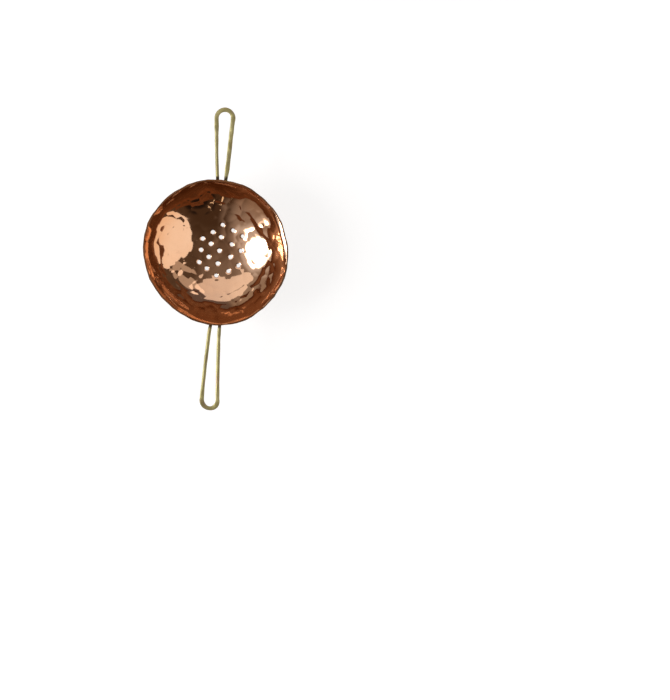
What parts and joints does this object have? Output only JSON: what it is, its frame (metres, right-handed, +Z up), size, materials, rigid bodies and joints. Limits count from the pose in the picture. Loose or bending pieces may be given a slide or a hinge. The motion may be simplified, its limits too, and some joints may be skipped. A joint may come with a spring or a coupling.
{
  "type": "two-handled bowl strainer",
  "caption": "Hand-hammered copper bowl strainer with a field of punched holes and two brazed brass wire loop handles, one longer than the other.",
  "frame": {"origin": "centre of the planished flat that the bowl stands on", "axes": "+Z up through the open mouth; +Y along the handles towards the short handle; -Y towards the long handle; +X to the right seen from above with the short handle away from the viewer"},
  "size_m": [0.0998, 0.2091, 0.028],
  "materials": {
    "hammered_copper": "polished hand-hammered copper, mirror bright in the facets",
    "brass_wire": "drawn brass wire, forged flat at the loop ends, lightly tarnished",
    "braze_filler": "dull brazing filler with heat tarnish"
  },
  "bodies": {
    "root": {"strainer_bowl": "hammered_copper", "short_handle": "brass_wire", "short_handle_braze_right": "braze_filler", "short_handle_braze_left": "braze_filler", "long_handle": "brass_wire", "long_handle_braze_right": "braze_filler", "long_handle_braze_left": "braze_filler"}
  },
  "joints": []
}
